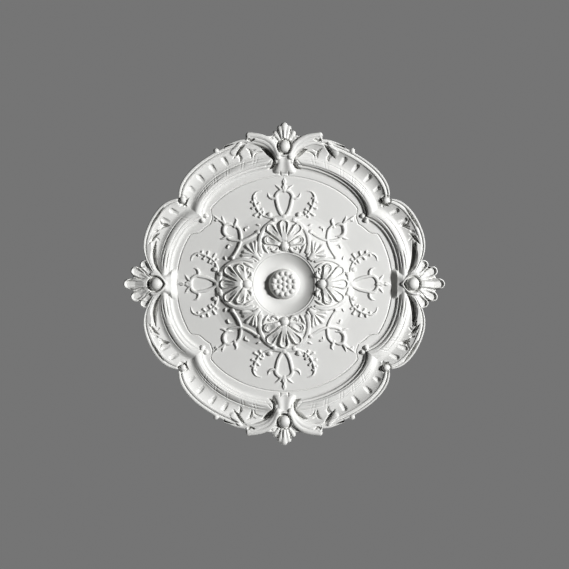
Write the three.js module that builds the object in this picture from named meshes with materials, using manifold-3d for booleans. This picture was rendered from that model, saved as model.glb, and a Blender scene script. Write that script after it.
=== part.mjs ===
// Ceiling rose, moulded in one piece: a lobed frame with shells and leaves round a flat field,
// and a dished boss in the middle. It is drawn face up, in millimetres, with its flat back at z = 0,
// and turned over at the end, because it hangs under a ceiling with its face down.

import * as THREE from 'three';
import { mergeVertices } from 'three/addons/utils/BufferGeometryUtils.js';
import Module from 'manifold-3d';

const wasm = await Module();
wasm.setup();

// Driving dimensions of the frame, from its outer edge inwards
const EDGE_RADIUS = 178.8;
const LIP_WIDTH = 7.6;
const CHANNEL_WIDTH = 13.4;
const BEAD_WIDTH = 13.1;
const FILLET_WIDTH = 3.3;
const LEDGE_WIDTH = 11.8;
const NOTCH_ANGLE = 39;
const NOTCH_DEPTH = 16;
const WAIST_DEPTH = 26;

// How fast the lines of the frame leave the notch, in degrees: in the side lobes, in the end lobes and
// at the field's edge, and how much more for each millimetre inside the outer edge
const SIDE_FADE = 4.6;
const END_FADE = 5.2;
const FIELD_FADE = 8.5;
const FADE_GROWTH = 0.12;
const WAIST_SPREAD = 10.5;
const BAY_SPREAD = 7.5;

// Heights above the flat back
const EDGE_THICKNESS = 4.5;
const FIELD_HEIGHT = 8;
const LEDGE_HEIGHT = 7;
const LOW_FILLET_HEIGHT = 11;
const HIGH_FILLET_HEIGHT = 13;
const BEAD_HEIGHT = 15.6;
const CHANNEL_HEIGHT = 11;
const LIP_HEIGHT = 17.2;
const FINIAL_HEIGHT = 24;
const HOLLOW_DEPTH = 4;
const HOLLOW_SPREAD = 5.5;
const SIDE_HOLLOW_ANGLE = 11;
const END_HOLLOW_ANGLE = 82;

// The mound, its dish and its boss
const MOUND_RADIUS = 90;
const MOUND_HEIGHT = 17;
const CREST_RADIUS = 52;
const DISH_RADIUS = 38.6;
const DISH_FLOOR = 9.2;
const BOSS_RADIUS = 17.5;
const BOSS_HEIGHT = 9.2;
const BOSS_LUMP = 2.5;

// Carving
const STRAP_WIDTH = 4.2;
const STRAP_HEIGHT = 2.2;
const FLUTE_WIDTH = 5.4;
const FLUTE_LENGTH = 12.6;
const FLUTE_DEPTH = 3;
const PALMETTE_ARCH_RADIUS = 29.7;
const SHELL_LENGTH = 38.5;
const SHELL_BALL = 8.4;
const CREST_LEAF_LENGTH = 29;
const CREST_BALL = 8.6;
const SHELL_INSET = 3.8;
const SINK = 1.2;
const CONSOLE_HEIGHT = 19.6;
const LONG_LEAF_HEIGHT = 21.4;
const CREST_LEAF_HEIGHT = 20;
const SPOON_RIM_HEIGHT = 17.5;
const SPOON_SHOULDER_HEIGHT = 13.5;
const SPOON_FLOOR_HEIGHT = 14.5;

// Stations round a quarter: most of them close to the notch
const SIDE_STATIONS = 7;
const END_STATIONS = 7;
const MOUND_SIDES = 32;

const radians = THREE.MathUtils.degToRad;
const lerp = THREE.MathUtils.lerp;

// Radii that follow from the widths above
const lipFoot = EDGE_RADIUS - LIP_WIDTH;
const beadOuter = lipFoot - CHANNEL_WIDTH;
const beadInner = beadOuter - BEAD_WIDTH;
const wallFoot = beadInner - FILLET_WIDTH;
const fieldRadius = wallFoot - LEDGE_WIDTH;

// Angle from the nearest side axis, 0 to 90 degrees, so that all four quarters are alike
function quarterAngle(angle) {
  return THREE.MathUtils.radToDeg(Math.atan2(Math.abs(Math.sin(angle)), Math.abs(Math.cos(angle))));
}

// A contour line of the frame: a circle in each lobe, drawn in towards the notch by a curve that
// fades with the angle, and towards the side shells by a bell curve
function contour(radius, notch, waist) {
  return (angle) => {
    const degrees = quarterAngle(angle);
    const fade = (degrees < NOTCH_ANGLE ? SIDE_FADE : END_FADE) + (EDGE_RADIUS - radius) * FADE_GROWTH;
    const pull = Math.exp(-Math.abs(degrees - NOTCH_ANGLE) / fade);
    const dip = Math.exp(-((degrees / WAIST_SPREAD) ** 2));
    return radius - notch * pull - waist * dip;
  };
}

// The small step at the edge of the field swings round the curls at the notch in a flat bay
function fieldContour(angle) {
  const degrees = quarterAngle(angle);
  const slope = Math.exp(-Math.abs(degrees - NOTCH_ANGLE) / FIELD_FADE);
  const bay = Math.exp(-(((degrees - NOTCH_ANGLE + 1.5) / BAY_SPREAD) ** 4));
  return fieldRadius - NOTCH_DEPTH * (0.45 * slope + 0.49 * bay);
}

const edgeLine = contour(EDGE_RADIUS, NOTCH_DEPTH, WAIST_DEPTH);
const lipLine = contour(lipFoot, NOTCH_DEPTH, WAIST_DEPTH * 0.8);
const beadOuterLine = contour(beadOuter, NOTCH_DEPTH * 0.8, WAIST_DEPTH * 0.3);
const beadInnerLine = contour(beadInner, NOTCH_DEPTH * 0.9, WAIST_DEPTH * 0.1);
const footLine = contour(wallFoot, NOTCH_DEPTH * 0.9, WAIST_DEPTH * 0.1);

// A line between two contour lines, or a little off one of them
const between = (inner, outer, share) => (angle) => lerp(inner(angle), outer(angle), share);
const beside = (line, offset) => (angle) => line(angle) + offset;

// The channel sinks into a deep hollow inside the lip, next to each side shell and each crest
function hollow(angle) {
  const bell = (middle) => Math.exp(-(((quarterAngle(angle) - middle) / HOLLOW_SPREAD) ** 4));
  return -HOLLOW_DEPTH * (bell(SIDE_HOLLOW_ANGLE) + 0.7 * bell(END_HOLLOW_ANGLE));
}

// Section of the frame, from the field outwards: a line and its height in each row
const section = [
  { line: fieldContour, height: FIELD_HEIGHT },
  { line: beside(fieldContour, 0.8), height: LEDGE_HEIGHT },
  { line: beside(footLine, -0.6), height: lerp(LEDGE_HEIGHT, LOW_FILLET_HEIGHT, 0.3) },
  { line: beside(footLine, 0.6), height: LOW_FILLET_HEIGHT },
  { line: beside(beadInnerLine, -0.7), height: LOW_FILLET_HEIGHT + 0.3 },
  { line: beside(beadInnerLine, 0.3), height: HIGH_FILLET_HEIGHT },
  { line: between(beadInnerLine, beadOuterLine, 0.18), height: BEAD_HEIGHT },
  { line: between(beadInnerLine, beadOuterLine, 0.45), height: lerp(CHANNEL_HEIGHT, BEAD_HEIGHT, 0.75) },
  { line: beside(beadOuterLine, 0.5), height: CHANNEL_HEIGHT },
  { line: beside(lipLine, -0.6), height: CHANNEL_HEIGHT + 2.4, hollow },
  { line: beside(lipLine, 0.8), height: LIP_HEIGHT },
  { line: beside(edgeLine, -2.2), height: LIP_HEIGHT },
  { line: beside(edgeLine, -0.4), height: lerp(EDGE_THICKNESS, LIP_HEIGHT, 0.7) },
  { line: edgeLine, height: EDGE_THICKNESS },
];
const heightOf = (row, angle) => row.height + (row.hollow ? row.hollow(angle) : 0);

// Profile of the mound, from its foot inwards to the dish rim, as radius and height
function moundProfile() {
  const rows = [];
  for (let k = 0; k <= 3; k++) {
    const share = k / 3;
    const rise = (1 - Math.cos(Math.PI * share)) / 2;
    rows.push([lerp(MOUND_RADIUS, CREST_RADIUS, share), lerp(FIELD_HEIGHT, MOUND_HEIGHT, rise)]);
  }
  rows.push([DISH_RADIUS + 1, MOUND_HEIGHT - 0.4]);
  return rows;
}

// Height at a radius on a profile of rows sorted by radius
function heightOn(rows, radius) {
  const next = rows.findIndex((row) => row[0] >= radius);
  if (next <= 0) return rows[next < 0 ? rows.length - 1 : 0][1];
  const [r0, z0] = rows[next - 1];
  const [r1, z1] = rows[next];
  return lerp(z0, z1, (radius - r0) / (r1 - r0));
}

// Height of the bare surface at a point, before carving
function ground(x, y) {
  const radius = Math.hypot(x, y);
  if (radius < MOUND_RADIUS) return heightOn(moundProfile().reverse(), radius);
  const angle = Math.atan2(y, x);
  return heightOn(section.map((row) => [row.line(angle), heightOf(row, angle)]), radius);
}

// Geometry skinned over closed rings of points, each ring anticlockwise as seen from the next. The
// first ring is capped, and the last one too, unless it is a single point: the peak of the form.
function skin(rings) {
  const count = rings[0].length;
  const positions = rings.flat().flatMap((point) => [point.x, point.y, point.z]);
  const faces = [];
  for (let k = 0; k + 1 < rings.length; k++) {
    const peak = rings[k + 1].length === 1;
    for (let i = 0; i < count; i++) {
      const a = k * count + i;
      const b = k * count + ((i + 1) % count);
      if (peak) faces.push(a, b, (k + 1) * count);
      else faces.push(a, b, b + count, a, b + count, a + count);
    }
  }
  const last = (rings.length - 1) * count;
  for (let i = 1; i + 1 < count; i++) {
    faces.push(0, i + 1, i);
    if (rings.at(-1).length > 1) faces.push(last, last + i, last + i + 1);
  }
  const geometry = new THREE.BufferGeometry();
  geometry.setAttribute('position', new THREE.Float32BufferAttribute(positions, 3));
  geometry.setIndex(faces);
  return geometry;
}

// A closed geometry as a solid that can be joined and cut
function solid(geometry) {
  geometry.deleteAttribute('normal');
  geometry.deleteAttribute('uv');
  const merged = mergeVertices(geometry, 1e-4);
  return new wasm.Manifold(new wasm.Mesh({
    numProp: 3,
    vertProperties: new Float32Array(merged.attributes.position.array),
    triVerts: new Uint32Array(merged.index.array),
  }));
}

// Leaf or lobe round the line from one point to another: its outline is an ellipse made slimmer at
// its tail, and its levels give a share of the outline and a height, from its foot on. A last
// level without a share closes it in a peak, nearer to its tip; a cutter has its peak below. A blunt
// lobe has a flat side at its tip, not a corner.
function lobe(from, to, halfWidth, tail, levels, floor, sides, blunt = false) {
  const offset = blunt ? 0.5 : 0;
  const stretch = 1 / Math.cos((offset / sides) * 2 * Math.PI);
  const along = to.clone().sub(from);
  const across = new THREE.Vector2(-along.y, along.x).normalize();
  if (levels.at(-1)[1] < levels[0][1]) across.negate();
  return solid(skin(levels.map(([share, lift]) => {
    if (share === 0) {
      const peak = from.clone().addScaledVector(along, 0.6);
      return [new THREE.Vector3(peak.x, peak.y, floor(peak.x, peak.y) + lift)];
    }
    const ring = [];
    for (let i = 0; i < sides; i++) {
      const turn = ((i + offset) / sides) * 2 * Math.PI;
      const reach = (1 - share * stretch * Math.cos(turn)) / 2;
      const swell = Math.sign(Math.sin(turn)) * Math.abs(Math.sin(turn)) ** 0.75;
      const width = share * halfWidth * swell * lerp(tail, 1, reach);
      const x = from.x + along.x * reach - across.x * width;
      const y = from.y + along.y * reach - across.y * width;
      ring.push(new THREE.Vector3(x, y, floor(x, y) + lift));
    }
    return ring;
  })));
}

// Small leaf or bud on the surface, cut to facets that meet in one peak, with its foot sunk
function bud(from, to, halfWidth, height, sides = 6, tail = 0.7, floor = ground) {
  return lobe(from, to, halfWidth, tail, [[1 + SINK / height, -SINK], [0, height]], floor, sides);
}

// Strap with a ridge along a smooth curve through the points, tapered by a function of the length.
// It has its width at the surface, and its foot is sunk. With a shoulder it has upright sides, up to
// that share of its height.
function strap(points, width, height, taper, steps, floor = ground, sink = SINK, shoulder = 0) {
  const footWidth = width * (1 + sink / height);
  const curve = new THREE.CatmullRomCurve3(points.map((point) => new THREE.Vector3(point.x, point.y, 0)));
  const rings = [];
  for (let k = 0; k <= steps; k++) {
    const share = k / steps;
    const point = curve.getPointAt(share);
    const tangent = curve.getTangentAt(share);
    const size = taper(share);
    const side = new THREE.Vector3(-tangent.y, tangent.x, 0).multiplyScalar((footWidth / 2) * size);
    const left = point.clone().add(side);
    const right = point.clone().sub(side);
    left.z = floor(left.x, left.y) - sink;
    right.z = floor(right.x, right.y) - sink;
    const ridge = new THREE.Vector3(point.x, point.y, floor(point.x, point.y) + height * size);
    const raise = (foot) => foot.clone().setZ(foot.z + (sink + height * size) * shoulder);
    rings.push(shoulder > 0 ? [left, raise(left), ridge, raise(right), right] : [left, ridge, right]);
  }
  return solid(skin(rings));
}

// Tapers: even, to a point at the end, a little less at the end, and thick in the middle
const even = () => 1;
const pointed = (share) => Math.max(0.2, 1 - share ** 2);
const fall = (share) => 1 - 0.22 * share;
const spindle = (share) => Math.max(0.25, Math.sin(Math.PI * share) ** 0.6);

// Ball set on the surface, or at a given height
function ball(point, radius, height, around = 8, rows = 5) {
  const geometry = new THREE.SphereGeometry(radius, around, rows);
  geometry.rotateX(Math.PI / 2);
  geometry.translate(point.x, point.y, height);
  return solid(geometry);
}

// Where a motif stands: turned round the rose, with u to one side and v outwards from the centre
function onAxis(turn, side) {
  return (u, v) => new THREE.Vector2(v, side * u).rotateAround(new THREE.Vector2(), turn);
}

// The same in a corner of the rose, with x and y from the centre
function inCorner(signX, signY) {
  return (x, y) => new THREE.Vector2(signX * x, signY * y);
}

// A point of a corner given by its angle from the side axis and its distance from the centre
function polar(place, degrees, radius) {
  return place(radius * Math.cos(radians(degrees)), radius * Math.sin(radians(degrees)));
}

// Frame and field: rings of points over the section, closed by the flat back
function plate() {
  const angles = [];
  for (let quarter = 0; quarter < 4; quarter++) {
    const stations = [];
    for (let k = 0; k < SIDE_STATIONS; k++) {
      stations.push(NOTCH_ANGLE * (1 - (1 - k / SIDE_STATIONS) ** 1.4));
    }
    for (let k = 0; k < END_STATIONS; k++) {
      stations.push(lerp(NOTCH_ANGLE, 90, (k / END_STATIONS) ** 1.3));
    }
    stations.push(90);
    const mirrored = quarter % 2 === 1;
    const ordered = mirrored ? stations.map((station) => 90 - station).reverse() : stations;
    ordered.slice(0, -1).forEach((station) => angles.push(radians(quarter * 90 + station)));
  }
  const ring = (line, height) => angles.map((angle) => new THREE.Vector3(
    line(angle) * Math.cos(angle), line(angle) * Math.sin(angle), height(angle)));
  const rows = section.map((row) => ring(row.line, (angle) => heightOf(row, angle))).reverse();
  return solid(skin([ring(edgeLine, () => 0), ...rows]));
}

// The mound, turned, with a flat top that the dish is cut into
function mound() {
  const rows = moundProfile().map(([radius, height]) => new THREE.Vector2(radius, height));
  const foot = new THREE.Vector2(MOUND_RADIUS, FIELD_HEIGHT - SINK);
  const bottom = new THREE.Vector2(0, FIELD_HEIGHT - SINK);
  const top = new THREE.Vector2(0, MOUND_HEIGHT - 0.4);
  return solid(turned([bottom, foot, ...rows, top]));
}

// Lathe geometry about the z axis from radius and height
function turned(profile) {
  const geometry = new THREE.LatheGeometry(profile, MOUND_SIDES);
  geometry.rotateX(Math.PI / 2);
  return geometry;
}

// Hollow of the dish: a flat floor, a cove and a small rim bead
function dishHollow() {
  const rim = MOUND_HEIGHT - 1.2;
  const profile = [[0, DISH_FLOOR], [DISH_RADIUS * 0.66, DISH_FLOOR]];
  profile.push([DISH_RADIUS * 0.83, lerp(DISH_FLOOR, rim, 0.32)]);
  profile.push([DISH_RADIUS - 2.2, rim - 0.8], [DISH_RADIUS - 0.8, rim]);
  profile.push([DISH_RADIUS, rim - 0.6], [DISH_RADIUS + 0.4, MOUND_HEIGHT + 4], [0, MOUND_HEIGHT + 4]);
  return solid(turned(profile.map(([radius, height]) => new THREE.Vector2(radius, height))));
}

// Boss: a low button with a soft edge, closed by rings of small lumps
function boss() {
  const top = DISH_FLOOR + BOSS_HEIGHT - BOSS_LUMP * 0.4;
  const profile = [[0, DISH_FLOOR - SINK], [BOSS_RADIUS + 0.6, DISH_FLOOR - SINK]];
  profile.push([BOSS_RADIUS, top - 3], [BOSS_RADIUS - 1.6, top - 1], [BOSS_RADIUS - 4, top], [0, top]);
  const parts = [solid(turned(profile.map(([radius, height]) => new THREE.Vector2(radius, height))))];
  for (const [count, radius] of [[1, 0], [6, BOSS_RADIUS * 0.34], [12, BOSS_RADIUS * 0.7]]) {
    for (let k = 0; k < count; k++) {
      const turn = ((k + 0.5) / count) * 2 * Math.PI;
      const place = new THREE.Vector2(radius * Math.cos(turn), radius * Math.sin(turn));
      const reach = new THREE.Vector2(BOSS_LUMP, 0);
      const [from, to] = [place.clone().sub(reach), place.clone().add(reach)];
      parts.push(bud(from, to, BOSS_LUMP, BOSS_LUMP * 0.6, 4, 1, () => top));
    }
  }
  return parts;
}

// Palmette on the mound: an arch strap round five lobes that spring from a ball
function palmette(turn) {
  const middle = onAxis(turn, 1);
  const base = DISH_RADIUS + 6.5;
  const parts = [bud(middle(0, base + 4), middle(0, base + 32), 6.4, 3.6)];
  parts.push(bud(middle(0, base - 5), middle(0, base + 4), 5, 3.6, 5, 1));
  const arch = [];
  for (let k = 0; k <= 6; k++) {
    const swing = radians(-112 + (224 * k) / 6);
    const u = PALMETTE_ARCH_RADIUS * Math.sin(swing);
    arch.push(middle(u, base + 4 + PALMETTE_ARCH_RADIUS * Math.cos(swing)));
  }
  parts.push(strap(arch, STRAP_WIDTH + 0.8, STRAP_HEIGHT, even, 9));
  for (const side of [-1, 1]) {
    const place = onAxis(turn, side);
    parts.push(bud(place(3, base + 4), place(17.5, base + 23.5), 5.2, 3.4));
    parts.push(bud(place(6, base + 1), place(22, base + 11), 5.6, 3.2));
  }
  return parts;
}

// Urn of straps above a palmette, with shoulder hooks, a plume and a leafy spray each side. Its
// points are drawn for a field of 130 mm radius and follow the field's real radius.
function urn(turn) {
  const grow = fieldRadius / 130;
  const parts = [];
  for (const side of [-1, 1]) {
    const axis = onAxis(turn, side);
    const place = (u, v) => axis(u * grow, v * grow);
    const oval = [place(3, 82.5), place(10, 91), place(11.6, 102), place(6.5, 111), place(0, 114)];
    parts.push(strap(oval, STRAP_WIDTH, STRAP_HEIGHT, even, 4));
    const hook = [place(7, 110.5), place(13, 106.5), place(17, 108.5), place(20.5, 113)];
    parts.push(strap(hook, STRAP_WIDTH, STRAP_HEIGHT, pointed, 2));
    const spray = [place(18, 82), place(25, 83.5), place(31, 87), place(35, 94.5), place(37.2, 101.5)];
    spray.push(place(36, 107.5), place(31.5, 110.5));
    parts.push(strap(spray, STRAP_WIDTH, STRAP_HEIGHT, spindle, 4));
    parts.push(bud(place(34, 94), place(43, 93), 2.6, 2.2, 4, 1));
  }
  const axis = onAxis(turn, 1);
  parts.push(bud(axis(0, 112 * grow), axis(0, 128 * grow), 2.8, 2.6, 4, 1));
  return parts;
}

// Strapwork in a corner: two arcs that cross on the mound, a leaf spike, a crescent leaf and a sprig
function cornerStraps(place) {
  const rising = [place(62.3, 33.4), place(54.2, 42.5), place(51.5, 51.4), place(54.2, 64), place(58.5, 75)];
  const running = [place(34.7, 64), place(45.7, 54.1), place(51.5, 51.4), place(61, 51.2), place(71, 56)];
  running.push(place(75.4, 64), place(72, 72.5));
  const parts = [strap(rising, STRAP_WIDTH, STRAP_HEIGHT, spindle, 4)];
  parts.push(strap(running, STRAP_WIDTH, STRAP_HEIGHT, spindle, 6));
  parts.push(bud(place(72, 60), place(84, 54), 2.4, 2.2, 4, 1));
  parts.push(bud(place(73, 70), place(86, 82), 2.6, 2.4, 4, 1));
  for (const [tipX, tipY] of [[36, 52.5], [54, 32.5]]) {
    parts.push(bud(place(32.5, 30), place(tipX, tipY), 3.2, 2.6, 4, 1));
  }
  return parts;
}

// Flutes in the channel: pointed drops cut with their round heads under the lip
function flutes(place) {
  const angles = [];
  for (let k = 0; k < 6; k++) angles.push(NOTCH_ANGLE + 6.5 + k * 6);
  for (let k = 0; k < 3; k++) angles.push(NOTCH_ANGLE - 6.7 - k * 5.2);
  return angles.map((degrees) => {
    const outer = lipLine(radians(degrees)) - 1.8;
    const head = polar(place, degrees, outer);
    const tail = polar(place, degrees, outer - FLUTE_LENGTH);
    return lobe(tail, head, FLUTE_WIDTH / 2, 0.3, [[1 + 1 / FLUTE_DEPTH, 1], [0, -FLUTE_DEPTH]], ground, 5);
  });
}

// Where two lobes meet, a volute ball stands on the channel
function volute(place) {
  const middle = polar(place, NOTCH_ANGLE + 1, edgeLine(radians(NOTCH_ANGLE)) - 4);
  return ball(middle, 5, CHANNEL_HEIGHT + 2, 6, 4);
}

// Console under a finial, across the frame: a waisted block that flares to a foot on the field side
function bracket(turn, head, headHalf, foot, footHalf) {
  const waist = lerp(foot, head, 0.45);
  const outline = new THREE.Shape();
  outline.moveTo(head, -headHalf);
  outline.lineTo(head, headHalf);
  outline.quadraticCurveTo(waist, headHalf * 0.75, foot + 5, footHalf);
  outline.lineTo(foot + 1, footHalf - 2);
  outline.lineTo(foot, footHalf * 0.4);
  outline.lineTo(foot, -footHalf * 0.4);
  outline.lineTo(foot + 1, 2 - footHalf);
  outline.lineTo(foot + 5, -footHalf);
  outline.quadraticCurveTo(waist, -headHalf * 0.75, head, -headHalf);
  const settings = { depth: CONSOLE_HEIGHT, bevelEnabled: false, curveSegments: 3 };
  const geometry = new THREE.ExtrudeGeometry(outline, settings);
  geometry.rotateZ(turn);
  return solid(geometry);
}

// A leaf or spoon of a finial goes right down to the back, and is lower than the balls
const flatBack = () => 0;

// Shell at a side: five spoon lobes that fan out behind a ball, low webs between them, and the
// console inside it
function shell(turn) {
  const root = beadOuter - SHELL_INSET;
  const middle = onAxis(turn, 1);
  const levels = [[1, 0], [1, SPOON_SHOULDER_HEIGHT], [0.82, SPOON_RIM_HEIGHT], [0, SPOON_FLOOR_HEIGHT]];
  const spoon = (from, to, half) => lobe(from, to, half, 0.35, levels, flatBack, 8, true);
  const parts = [spoon(middle(0, root), middle(0, root + SHELL_LENGTH), 8.6)];
  parts.push(ball(middle(0, root), SHELL_BALL, FINIAL_HEIGHT - SHELL_BALL, 8, 6));
  const web = [[1, 0], [1, SPOON_SHOULDER_HEIGHT - 1], [0, SPOON_SHOULDER_HEIGHT]];
  for (const side of [-1, 1]) {
    const place = onAxis(turn, side);
    for (const [u, v] of [[0.2, 0.73], [0.48, 0.56]]) {
      const tip = place(SHELL_LENGTH * u, root + SHELL_LENGTH * v);
      parts.push(lobe(middle(0, root), tip, 5, 0.6, web, flatBack, 6, true));
    }
    parts.push(spoon(place(2, root - 1), place(19.5, root + SHELL_LENGTH * 0.77), 8.6));
    parts.push(spoon(place(4, root - 2), place(28.5, root + SHELL_LENGTH * 0.45), 7.6));
  }
  parts.push(bracket(turn, root + 2, 11, root - 25, 19));
  return parts;
}

// Crest at an end: five leaves over a ball, two long leaves each side that lie over the lip, and the
// console below it
function crest(turn) {
  const root = EDGE_RADIUS - 14.4;
  const middle = onAxis(turn, 1);
  const leaf = (from, to, half, height) => lobe(from, to, half, 0.8,
    [[1, 0], [1, height * 0.7], [0, height]], flatBack, 6);
  const parts = [leaf(middle(0, root), middle(0, root + CREST_LEAF_LENGTH), 6.5, CREST_LEAF_HEIGHT)];
  parts.push(ball(middle(0, root), CREST_BALL, FINIAL_HEIGHT - CREST_BALL, 8, 6));
  for (const side of [-1, 1]) {
    const place = onAxis(turn, side);
    parts.push(leaf(place(2, root), place(9, root + 25), 4.8, CREST_LEAF_HEIGHT - 1));
    parts.push(leaf(place(4, root - 3), place(15.5, root + 15), 5.4, CREST_LEAF_HEIGHT - 2));
    const upper = [place(5, root - 6), place(13, root + 3), place(27, root + 9.5), place(43, root + 12)];
    parts.push(strap(upper, 11, LONG_LEAF_HEIGHT, fall, 3, flatBack, 0, 0.82));
    const lower = [polar(place, 77, EDGE_RADIUS - 6), polar(place, 69, EDGE_RADIUS - 2)];
    lower.push(polar(place, 62.8, EDGE_RADIUS + 0.5));
    parts.push(strap(lower, 9, LONG_LEAF_HEIGHT - 1, fall, 3, flatBack, 0, 0.82));
  }
  parts.push(bracket(turn, root - 3, 10.5, root - 31, 14));
  return parts;
}

// Everything joined into one body: the ground, then the hollows, then what stands on it
function rose() {
  const corners = [inCorner(1, 1), inCorner(-1, 1), inCorner(-1, -1), inCorner(1, -1)];
  const quarterTurns = [0, 1, 2, 3].map((quarter) => radians(quarter * 90));
  const cuts = [dishHollow(), ...corners.flatMap(flutes)];
  const added = [...boss(), ...corners.flatMap(cornerStraps), ...corners.map(volute)];
  added.push(...quarterTurns.flatMap(palmette), ...quarterTurns.flatMap(urn));
  added.push(...[0, Math.PI].flatMap(shell), ...[Math.PI / 2, -Math.PI / 2].flatMap(crest));
  const blank = plate().add(mound());
  const hollowed = cuts.reduce((body, cutter) => body.subtract(cutter), blank);
  return added.reduce((body, piece) => body.add(piece), hollowed);
}

// Surface of a joined body as a geometry
function surfaceOf(body) {
  const mesh = body.getMesh();
  const geometry = new THREE.BufferGeometry();
  geometry.setAttribute('position', new THREE.BufferAttribute(new Float32Array(mesh.vertProperties), 3));
  geometry.setIndex(new THREE.BufferAttribute(new Uint32Array(mesh.triVerts), 1));
  geometry.computeVertexNormals();
  return geometry;
}

const primedFoam = new THREE.MeshStandardMaterial({ color: 0xf2f1ed, roughness: 0.62, metalness: 0 });
const ceilingRose = new THREE.Mesh(surfaceOf(rose()), primedFoam);
ceilingRose.name = 'ceiling_rose';

const model = new THREE.Group();
model.add(ceilingRose);
model.rotation.x = Math.PI;

export default model;
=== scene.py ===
"""Looks of the ceiling rose: one casting in white primer, worked out as heights over its plan, and a
plain stage under it. It hangs face down from z = 0; its drawing is made face up, in millimetres, and
turned over. The casting is cut into three closed pieces along smooth lines of the frame."""

import math
from types import SimpleNamespace

import bpy
import numpy as np
from bpy.props import FloatProperty, FloatVectorProperty, IntProperty, PointerProperty
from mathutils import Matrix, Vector


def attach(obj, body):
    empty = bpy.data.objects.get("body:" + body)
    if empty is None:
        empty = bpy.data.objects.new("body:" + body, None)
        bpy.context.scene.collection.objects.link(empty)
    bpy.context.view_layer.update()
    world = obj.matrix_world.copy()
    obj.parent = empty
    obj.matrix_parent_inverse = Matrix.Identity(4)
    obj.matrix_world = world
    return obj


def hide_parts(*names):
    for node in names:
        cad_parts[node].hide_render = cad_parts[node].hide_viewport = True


bl_info = {
    "name": "Ceiling rose",
    "version": (1, 0, 0),
    "blender": (4, 5, 0),
    "location": "3D View > Sidebar > Ceiling rose",
    "description": "Carved face of a ceiling rose and the stage that shows it",
    "category": "Add Mesh",
}

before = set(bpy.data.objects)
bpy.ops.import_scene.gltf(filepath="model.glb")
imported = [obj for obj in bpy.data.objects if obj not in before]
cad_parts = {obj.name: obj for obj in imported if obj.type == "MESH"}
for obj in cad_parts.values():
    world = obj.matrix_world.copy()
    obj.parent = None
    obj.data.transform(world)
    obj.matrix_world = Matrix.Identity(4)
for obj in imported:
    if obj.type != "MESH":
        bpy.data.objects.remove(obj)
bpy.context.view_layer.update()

MM = 0.001
PHOTO_PIXELS = 569
PIXEL = 1.2  # millimetres of the rose to one pixel of the picture
PHOTO_CENTRE = (0.3, 0.5)  # pixels from the rose's middle to the picture's middle
MID_DEPTH = 12.0  # millimetres from the ceiling to the middle of the relief

NOTCH_ANGLE = 39.0  # degrees from the side axis to the notch between a side lobe and an end lobe
SIDE_FADE = 4.6  # degrees over which the notch fades into the side lobe, at the outer edge
END_FADE = 5.2  # the same into the end lobe
FADE_GROWTH = 0.12  # degrees more for each millimetre inwards
FIELD_FADE = 8.5  # degrees over which it fades along the field's edge
FIELD_DRAW = 0.45  # share of the notch's depth that the field's edge draws in
BAY_DRAW = 0.49  # and the share that its flat bay draws in besides
BAY_TURN = 1.5  # degrees from the notch to the bay's middle, to the side
SIDE_BAY = 8.3  # half width of the bay in degrees, to the side
END_BAY = 7.0  # and to the end
WAIST_SPREAD = 10.5  # degrees of the bell curve that draws the frame in at the shell
# Shares of the notch's and the waist's depth by which each line of the frame draws in.
LINE_DRAW = {
    "foot": (0.9, 0.1),
    "bead_in": (0.9, 0.1),
    "crest": (0.74, 0.1),
    "bead_out": (0.8, 0.25),
    "lip": (1.0, 0.8),
    "edge": (1.0, 1.0),
}
BUTTON_DROP = 1.2  # from the boss's height down to the button that carries its lumps
SHELL_INSET = 3.8  # from the bead's outer line in to the shell's ball
CREST_INSET = 14.4  # from the edge in to the crest's ball
SHARP_ANGLE = 45  # degrees between faces past which an edge stays sharp

# Rows of the grid between the lines of the frame, from the middle to the field's edge, on to the foot,
# the bead's inner line, its outer line, the lip and the rim; and the rows that each piece takes.
GRID_ROWS = (270, 30, 12, 48, 60, 66)
FIELD_ROW = GRID_ROWS[0] - 1
BEAD_ROW = sum(GRID_ROWS[:4])
PARTS = {
    "carved_field": (0, FIELD_ROW + 1),
    "carved_bead": (FIELD_ROW, BEAD_ROW + 1),
    "carved_rim": (BEAD_ROW, None),
}

CLOUD_SIZE = 45.45  # millimetres across the clouds of thinner primer
THIN_COAT = 0.94  # how bright a thin coat is, to a full one
GRAIN_SIZE = 0.714  # millimetres between the pebbles of the spray, as coarse as they need to show
MOTTLE_SIZE = 333.3  # millimetres across the roller's mottle on the floor
MIX_A, MIX_B, MIX_RESULT = 6, 7, 2  # a mix node's colour sockets, whose names its others share

FLOOR_HALF = 6.0  # metres; so are the places and sizes of the lights
KEY_PLACE, KEY_SIZE = (1.95, -0.36, -1.73), 0.34
FILL_PLACE, FILL_SIZE = (-0.9, 0.3, -1.9), 1.6
ABOVE_PLACE = (0.6, -1.0, 2.6)
BEHIND_PLACE = (-1.6, 1.9, 0.6)
SUN_ANGLE = 25  # degrees


def linear(code):
    """An sRGB hex colour as linear values with full alpha."""
    parts = [int(code[k:k + 2], 16) / 255 for k in (0, 2, 4)]
    return (*[c / 12.92 if c <= 0.04045 else ((c + 0.055) / 1.055) ** 2.4 for c in parts], 1.0)


def length(name, value, description):
    """A size for the user, in metres, from its default in millimetres."""
    return FloatProperty(
        name=name,
        description=description,
        default=value * MM,
        min=0.0,
        precision=4,
        unit="LENGTH",
        subtype="DISTANCE",
    )


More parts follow.
